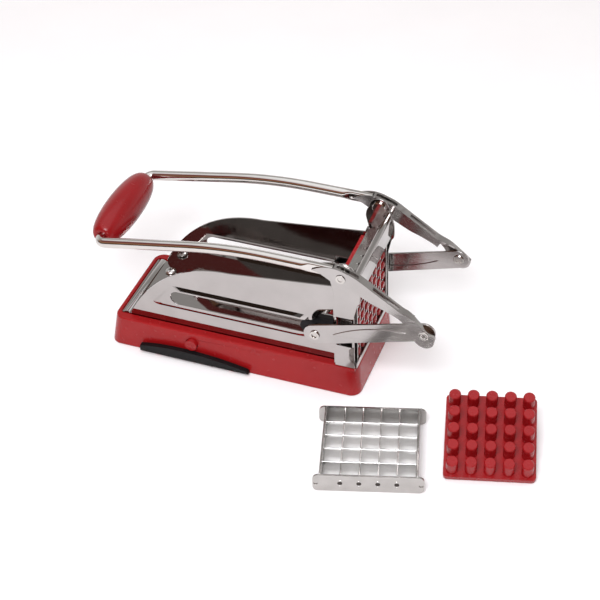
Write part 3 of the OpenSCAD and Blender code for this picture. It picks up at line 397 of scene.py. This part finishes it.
def setting_out_tree(name, shape, material):
    """Puts the shape on every point, its z axis along the point's facing vector."""
    tree = bpy.data.node_groups.new(name, "GeometryNodeTree")
    tree.interface.new_socket("Points", in_out="INPUT", socket_type="NodeSocketGeometry")
    tree.interface.new_socket("Size", in_out="INPUT", socket_type="NodeSocketFloat").default_value = 1.0
    tree.interface.new_socket("Pieces", in_out="OUTPUT", socket_type="NodeSocketGeometry")
    given = add(tree, "NodeGroupInput")
    pattern = add(tree, "GeometryNodeObjectInfo", {"Object": shape})
    facing = add(tree, "GeometryNodeInputNamedAttribute", {"Name": "facing"}, data_type="FLOAT_VECTOR")
    turned = add(tree, "FunctionNodeAlignRotationToVector", {"Vector": facing.outputs["Attribute"]}, axis="Z")
    placed = add(tree, "GeometryNodeInstanceOnPoints",
                 {"Points": given.outputs["Points"], "Instance": pattern.outputs["Geometry"],
                  "Rotation": turned.outputs["Rotation"], "Scale": given.outputs["Size"]})
    real = add(tree, "GeometryNodeRealizeInstances", {"Geometry": placed.outputs["Instances"]})
    painted = add(tree, "GeometryNodeSetMaterial", {"Geometry": real.outputs["Geometry"], "Material": material})
    add(tree, "NodeGroupOutput", {"Pieces": painted.outputs["Geometry"]})
    return tree


def set_out(name, mesh, places, body, material, node=None):
    """Copies of a turned mesh at places, pairs of a point in mm and a facing, as one piece of a body."""
    shape = bpy.data.objects.new(name + "_shape", mesh)
    scene.collection.objects.link(shape)
    points = bpy.data.meshes.new(name + "_points")
    points.from_pydata([tuple(c * MM for c in place) for place, facing in places], [], [])
    vectors = points.attributes.new("facing", "FLOAT_VECTOR", "POINT")
    for i, (place, facing) in enumerate(places):
        vectors.data[i].vector = facing
    carrier = bpy.data.objects.new(name + "_points", points)
    scene.collection.objects.link(carrier)
    modifier = carrier.modifiers.new("setting_out", "NODES")
    modifier.node_group = setting_out_tree(name, shape, material)
    bpy.context.view_layer.update()
    evaluated = carrier.evaluated_get(bpy.context.evaluated_depsgraph_get())
    made = bpy.data.meshes.new_from_object(evaluated)
    piece = bpy.data.objects.new(name, made)
    scene.collection.objects.link(piece)
    bpy.data.objects.remove(carrier)
    bpy.data.objects.remove(shape)
    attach(piece, body)
    if node:
        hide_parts(node)


def cupped(steps, head_r, top, cup_r, cup_depth):
    """Profile of a rivet: its steps from the inner end, then a round head with a cup in it."""
    return [(0, steps[0][1])] + steps + [
        (head_r, top - 0.3), (head_r - 0.12, top - 0.1), (head_r - 0.4, top),
        (cup_r + 0.25, top), (cup_r, top - 0.15), (cup_r - 0.1, top - cup_depth), (0, top - cup_depth)]


BOTH_SIDES = ((0, 1, 0), (0, -1, 0))
RIVET_R = 3.0

# Their profiles run outwards from the cutter's middle plane: radius, and distance from that plane
PIVOT_RIVET = lathe("pivot_rivet", cupped(
    [(4.6, 36.2), (5.0, 36.5), (5.0, 37.5), (RIVET_R, 37.5), (RIVET_R, 46.0), (3.5, 46.0)], 3.5, 46.5, 1.7, 0.4))
CRANK_RIVET = lathe("crank_rivet", cupped(
    [(2.0, 40.1), (2.2, 39.8), (3.6, 39.8), (3.9, 40.1), (3.9, 40.4), (RIVET_R, 40.4), (RIVET_R, 42.2),
     (4.3, 42.2), (4.3, 44.7), (RIVET_R, 44.7), (RIVET_R, 45.7), (3.6, 45.7)], 3.6, 46.3, 1.4, 0.4))
EYE_RIVET = lathe("eye_rivet", cupped(
    [(RIVET_R, 40.5), (RIVET_R, 42.1), (3.7, 42.1)], 3.7, 43.3, 2.0, 0.9))

set_out("arm_pivot_rivets", PIVOT_RIVET, [(ARM_PIVOT, side) for side in BOTH_SIDES],
        "root", RIVET_CHROME, "pivot_rivets")
set_out("crank_rivets", CRANK_RIVET, [(CRANK_PIN, side) for side in BOTH_SIDES],
        "handle_lever", RIVET_CHROME, "link_rivets")
set_out("eye_rivets", EYE_RIVET, [(PUSHER_AXLE, side) for side in BOTH_SIDES],
        "links", RIVET_CHROME, "link_eye_rivets")


# ---------- screws of the trough floor ----------

SCREW_X = -74.0
SCREW_Y = 21.0
SCREW_SEAT_Z = 24.5
HEAD_TOP = 2.75
RECESS_W = 1.3
RECESS_LEN = 4.6
RECESS_DEPTH = 1.5
RECESS_FLOOR_SHARE = 0.55


def cross_recessed(mesh, width, length, depth, top):
    """Sinks a cross recess with sloping sides, for a driver, into a turned screw head."""
    head = bpy.data.objects.new("head", mesh)
    scene.collection.objects.link(head)
    for along, across in ((length, width), (width, length)):
        cutter_mesh = bpy.data.meshes.new("driver")
        corners = []
        for height, share in ((top - depth, RECESS_FLOOR_SHARE), (top + 1, 1.0)):
            for x, y in ((-1, -1), (1, -1), (1, 1), (-1, 1)):
                corners.append((x * along / 2 * share * MM, y * across / 2 * share * MM, height * MM))
        cutter_mesh.from_pydata(corners, [], [(3, 2, 1, 0), (4, 5, 6, 7), (0, 1, 5, 4), (1, 2, 6, 5),
                                              (2, 3, 7, 6), (3, 0, 4, 7)])
        cutter = bpy.data.objects.new("driver", cutter_mesh)
        scene.collection.objects.link(cutter)
        cut = head.modifiers.new("recess", "BOOLEAN")
        cut.operation = "DIFFERENCE"
        cut.solver = "EXACT"
        cut.object = cutter
        bpy.context.view_layer.update()
        result = bpy.data.meshes.new_from_object(head.evaluated_get(bpy.context.evaluated_depsgraph_get()))
        head.modifiers.clear()
        head.data = result
        bpy.data.objects.remove(cutter)
    finished = head.data
    bpy.data.objects.remove(head)
    shade(finished, TURNED_SHARP_ANGLE)
    return finished


PAN_HEAD = lathe("pan_head", [(0, -10), (1.6, -10), (1.6, 0), (4.0, 0), (4.25, 0.3), (4.2, 0.8), (3.95, 1.3),
                              (3.5, 1.8), (2.8, 2.25), (1.9, 2.55), (0.9, 2.7), (0, HEAD_TOP)])
set_out("trough_screws", cross_recessed(PAN_HEAD, RECESS_W, RECESS_LEN, RECESS_DEPTH, HEAD_TOP),
        [((SCREW_X, y, SCREW_SEAT_Z), (0, 0, 1)) for y in (-SCREW_Y, SCREW_Y)],
        "root", SCREW_STEEL, "floor_screws")


# ---------- rolled crossbar over the grid ----------

CROSSBAR_REAR_X = 92.1
CROSSBAR_FRONT_X = 96.0
CROSSBAR_HALF_T = 0.6
CROSSBAR_TOP_Z = 106.2
CROSSBAR_FLANGE_Z = 100.0
CROSSBAR_HALF_LEN = 37.7
CROSSBAR_ROLL_STEPS = 16
# Straight runs below the roll, at its rear and its front
REAR_RUN, FRONT_RUN = 0.4, 0.6
# The front leaf downwards to its curled foot: x from CROSSBAR_FRONT_X, and z
CROSSBAR_LEAF = ((0, 98.0), (-0.25, 94.0), (-0.25, 91.0), (-0.1, 89.4), (0, 88.0))


def thick_outline(path, half_t):
    """Closed outline of a sheet of even thickness along a path in a plane."""
    left, right = [], []
    for (x, z), way in zip(path, ways_along(path)):
        left.append((x - way.y * half_t, z + way.x * half_t))
        right.append((x + way.y * half_t, z - way.x * half_t))
    return left + right[::-1]


def make_crossbar():
    """Channel folded from sheet, with a full round along its top and a curled foot."""
    roll_r = (CROSSBAR_FRONT_X - CROSSBAR_REAR_X) / 2
    roll_x = CROSSBAR_REAR_X + roll_r
    roll_z = CROSSBAR_TOP_Z - CROSSBAR_HALF_T - roll_r
    path = [(CROSSBAR_REAR_X, CROSSBAR_FLANGE_Z), (CROSSBAR_REAR_X, roll_z - REAR_RUN)]
    for k in range(CROSSBAR_ROLL_STEPS + 1):
        turn = math.pi * k / CROSSBAR_ROLL_STEPS
        path.append((roll_x - roll_r * math.cos(turn), roll_z + roll_r * math.sin(turn)))
    path.append((CROSSBAR_FRONT_X, roll_z - FRONT_RUN))
    path += [(CROSSBAR_FRONT_X + x, z) for x, z in CROSSBAR_LEAF]
    outline = thick_outline(path, CROSSBAR_HALF_T)
    count, half = len(outline), len(path)
    points = [(x * MM, y * MM, z * MM) for y in (-CROSSBAR_HALF_LEN, CROSSBAR_HALF_LEN) for x, z in outline]
    faces = [(k, (k + 1) % count, count + (k + 1) % count, count + k) for k in range(count)]
    for k in range(half - 1):
        strip = (k, k + 1, count - 2 - k, count - 1 - k)
        faces.append(strip[::-1])
        faces.append(tuple(count + i for i in strip))
    bar = new_piece("rolled_crossbar", points, faces, SHEET_CHROME, "root")
    face_outwards(bar)
    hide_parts("top_crossbar")


make_crossbar()


# ---------- folded lips of the arms' noses ----------

LIP_OUTER_Y = 44.75
LIP_T = 1.0
# The nose's upper edge from web to tip: x and z from the crank pin, and the y that the lip reaches inwards to
LIP_EDGE = (
    (-15.2, 15.3, 39.3), (-12.7, 14.3, 39.4), (-10.2, 13.1, 39.9), (-7.5, 11.6, 41.0),
    (-4.6, 9.5, 42.0), (-2.0, 7.4, 42.4), (0.5, 5.3, 42.5), (3.0, 3.2, 42.5),
    (5.6, 0.8, 42.5), (7.5, -1.1, 42.5), (7.85, -2.6, 42.5),
)


def make_lip(side, name):
    """Edge of the outer plate turned in over the nose: as wide as the arm's web, then narrower to the tip."""
    outer = [(CRANK_PIN[0] + x, CRANK_PIN[2] + z) for x, z, inner_y in LIP_EDGE]
    inner = [(x + way.y * LIP_T, z - way.x * LIP_T) for (x, z), way in zip(outer, ways_along(outer))]
    inner_ys = [inner_y for x, z, inner_y in LIP_EDGE]
    count = len(LIP_EDGE)
    points = []
    for ys in (inner_ys, [LIP_OUTER_Y] * count):
        for row in (outer, inner):
            points += [(x * MM, side * y * MM, z * MM) for (x, z), y in zip(row, ys)]
    faces = []
    for a in range(count - 1):
        b = a + 1
        faces.append((a, b, 2 * count + b, 2 * count + a))
        faces.append((count + a, 3 * count + a, 3 * count + b, count + b))
        faces.append((a, count + a, count + b, b))
        faces.append((2 * count + a, 2 * count + b, 3 * count + b, 3 * count + a))
    for k in (0, count - 1):
        faces.append((k, 2 * count + k, 3 * count + k, count + k))
    lip = new_piece(name, points, faces, STAMPED_CHROME, "handle_lever")
    face_outwards(lip)


make_lip(1, "left_nose_lip")
make_lip(-1, "right_nose_lip")


# ---------- painted shade in the punched gaps round the tabs that hold the blades ---

GRID_OPEN = 63.5
FINE_CELLS = 7
COARSE_CELLS = 5
GRID_TOP_Z = 92.6
GRID_MID_X = 87.2
SPARE_GRID_X = 123.8
SPARE_GRID_Y = -92.6
SPARE_GRID_TURN = math.radians(15.75)
SPARE_PLATE_Y = 33.25
SPARE_MARK_Z = 7.4

# Thin dark disc, a hair proud of the plate: painted shade over each gap where a blade's tab passes through
TAB_GAP_DISC = lathe("tab_gap_disc", [(0, -0.4), (1.7, -0.4), (1.7, 0.0), (1.5, 0.06), (1.1, 0.1), (0.6, 0.12), (0, 0.12)], 20)


def spare_place(x, y, z):
    """Place of a point of the loose grid's own frame, in which x runs along the end plates."""
    turn_x = x * math.cos(SPARE_GRID_TURN) - y * math.sin(SPARE_GRID_TURN)
    turn_y = x * math.sin(SPARE_GRID_TURN) + y * math.cos(SPARE_GRID_TURN)
    return (SPARE_GRID_X + turn_x, SPARE_GRID_Y + turn_y, z)


def blade_places(cells):
    """Distances of the blades from the middle of a grid with this many cells a side."""
    return [(i - cells / 2) * GRID_OPEN / cells for i in range(1, cells)]


def spare_tab_gap_places():
    """Places and facings of the painted shade marks on both end plates of the loose grid."""
    marks = []
    for side in (-1, 1):
        facing = (-side * math.sin(SPARE_GRID_TURN), side * math.cos(SPARE_GRID_TURN), 0)
        for x in blade_places(COARSE_CELLS):
            marks.append((spare_place(x, side * SPARE_PLATE_Y, SPARE_MARK_Z), facing))
    return marks


set_out("grid_punches", TAB_GAP_DISC, [((GRID_MID_X, y, GRID_TOP_Z), (0, 0, 1)) for y in blade_places(FINE_CELLS)],
        "root", TAB_GAP_SHADE)
set_out("spare_punches", TAB_GAP_DISC, spare_tab_gap_places(), "spare_grid", TAB_GAP_SHADE)


# ---------- camera, light and stage ----------

CAMERA_AZIMUTH = math.radians(18.73)
CAMERA_ELEVATION = math.radians(40.09)
CAMERA_ROLL = math.radians(-0.38)
CAMERA_PLACE = Vector((0.36343, -0.80134, 0.77662))
FOCAL_PX = 1561.84
PRINCIPAL_POINT = (368.62, 292.39)
IMAGE_SIDE = 600
SENSOR_MM = 36


def make_camera():
    """Camera that looks down on the press from its front right, rolled a little."""
    data = bpy.data.cameras.new("camera")
    camera = bpy.data.objects.new("camera", data)
    scene.collection.objects.link(camera)
    data.sensor_width = SENSOR_MM
    data.lens = FOCAL_PX / IMAGE_SIDE * SENSOR_MM
    data.shift_x = (IMAGE_SIDE / 2 - PRINCIPAL_POINT[0]) / IMAGE_SIDE
    data.shift_y = (PRINCIPAL_POINT[1] - IMAGE_SIDE / 2) / IMAGE_SIDE
    data.clip_start, data.clip_end = 0.05, 20
    back = Vector((
        math.sin(CAMERA_AZIMUTH) * math.cos(CAMERA_ELEVATION),
        -math.cos(CAMERA_AZIMUTH) * math.cos(CAMERA_ELEVATION),
        math.sin(CAMERA_ELEVATION),
    ))
    level = Vector((math.cos(CAMERA_AZIMUTH), math.sin(CAMERA_AZIMUTH), 0))
    upright = back.cross(level)
    right = math.cos(CAMERA_ROLL) * level + math.sin(CAMERA_ROLL) * upright
    up = back.cross(right)
    turn = Matrix((right, up, back)).transposed().to_4x4()
    camera.matrix_world = Matrix.Translation(CAMERA_PLACE) @ turn
    scene.camera = camera


def band_colours(tree, height, bands):
    """Colour by height of the direction looked in, from pairs of height and hex colour."""
    ramp = add(tree, "ShaderNodeValToRGB", {"Fac": height})
    stops = ramp.color_ramp.elements
    stops[0].position, stops[0].color = bands[0][0], colour(bands[0][1])
    stops[1].position, stops[1].color = bands[-1][0], colour(bands[-1][1])
    for position, hex_code in bands[1:-1]:
        stops.new(position).color = colour(hex_code)
    return ramp.outputs["Color"]


# Height is the sine of the elevation, and below the first one the white sweep runs on
ROOM_FRONT = ((0.0, "#FFFFFF"), (0.02, "#2B221D"), (0.2, "#4A3A30"), (0.36, "#B98460"), (0.5, "#8A6C5C"),
              (0.6, "#8C4A48"), (0.68, "#8C4644"), (0.76, "#8E8078"), (0.84, "#B5AFA9"), (0.95, "#E4E1DD"))
ROOM_BACK = ((0.05, "#FFFFFF"), (0.25, "#F0EFEE"), (0.5, "#BDBBB9"), (0.75, "#B4B2B0"), (0.95, "#DAD9D8"))
# Half the width over which the room in front turns into the wall behind, as the direction's y
ROOM_BLEND = 0.35


def make_world():
    """A studio: white sweep at table height, dark warm room in front, pale wall behind, light from overhead."""
    world = bpy.data.worlds.new("studio")
    scene.world = world
    world.use_nodes = True
    tree = world.node_tree
    tree.nodes.clear()
    looked = add(tree, "ShaderNodeTexCoord").outputs["Generated"]
    axes = add(tree, "ShaderNodeSeparateXYZ", {"Vector": looked})
    side = add(tree, "ShaderNodeMapRange",
               {"Value": axes.outputs["Y"], "From Min": -ROOM_BLEND, "From Max": ROOM_BLEND},
               interpolation_type="SMOOTHSTEP").outputs["Result"]
    front, back = (band_colours(tree, axes.outputs["Z"], bands) for bands in (ROOM_FRONT, ROOM_BACK))
    room = add(tree, "ShaderNodeMix", {MIX_FACTOR: side, MIX_A: front, MIX_B: back}, data_type="RGBA")
    light = add(tree, "ShaderNodeBackground", {"Color": room.outputs[MIX_RESULT], "Strength": 1.0})
    add(tree, "ShaderNodeOutputWorld", {"Surface": light.outputs["Background"]})


LAMP_TARGET = Vector((0.05, 0, 0.03))
TABLE_HALF_SIDE = 3.0
# Keeps the table top clear of what stands on it
TABLE_DROP = 0.0002


def area_light(name, place, size, power, tone):
    """Rectangular lamp that faces the press."""
    data = bpy.data.lights.new(name, "AREA")
    data.shape = "RECTANGLE"
    data.size, data.size_y = size
    data.energy = power
    data.color = colour(tone)[:3]
    lamp = bpy.data.objects.new(name, data)
    scene.collection.objects.link(lamp)
    lamp.location = place
    lamp.rotation_mode = "QUATERNION"
    lamp.rotation_quaternion = (LAMP_TARGET - Vector(place)).to_track_quat("-Z", "Y")


def make_floor():
    """Matte white table top that still takes the object's soft shadow."""
    mesh = bpy.data.meshes.new("table_top")
    side = TABLE_HALF_SIDE
    mesh.from_pydata([(-side, -side, 0), (side, -side, 0), (side, side, 0), (-side, side, 0)], [], [(0, 1, 2, 3)])
    floor = bpy.data.objects.new("table_top", mesh)
    scene.collection.objects.link(floor)
    floor.location.z = -TABLE_DROP
    # Melamine laminate, pressed with a matt plate: an even white with soft shadows
    material, tree, shader, place = new_material("table_laminate", Roughness=0.6)
    link(tree, tint(tree, noise(tree, place, 60), "#FDFDFD", "#FFFFFF"), shader, "Base Color")
    floor.data.materials.append(material)


make_camera()
make_world()
make_floor()
area_light("top", (-0.1, -0.1, 1.75), (2.8, 2.4), 15, "#F4F8FF")
area_light("key", (0.2, -0.95, 1.15), (0.6, 0.45), 17, "#F8FAFF")
scene.view_settings.view_transform = "Standard"
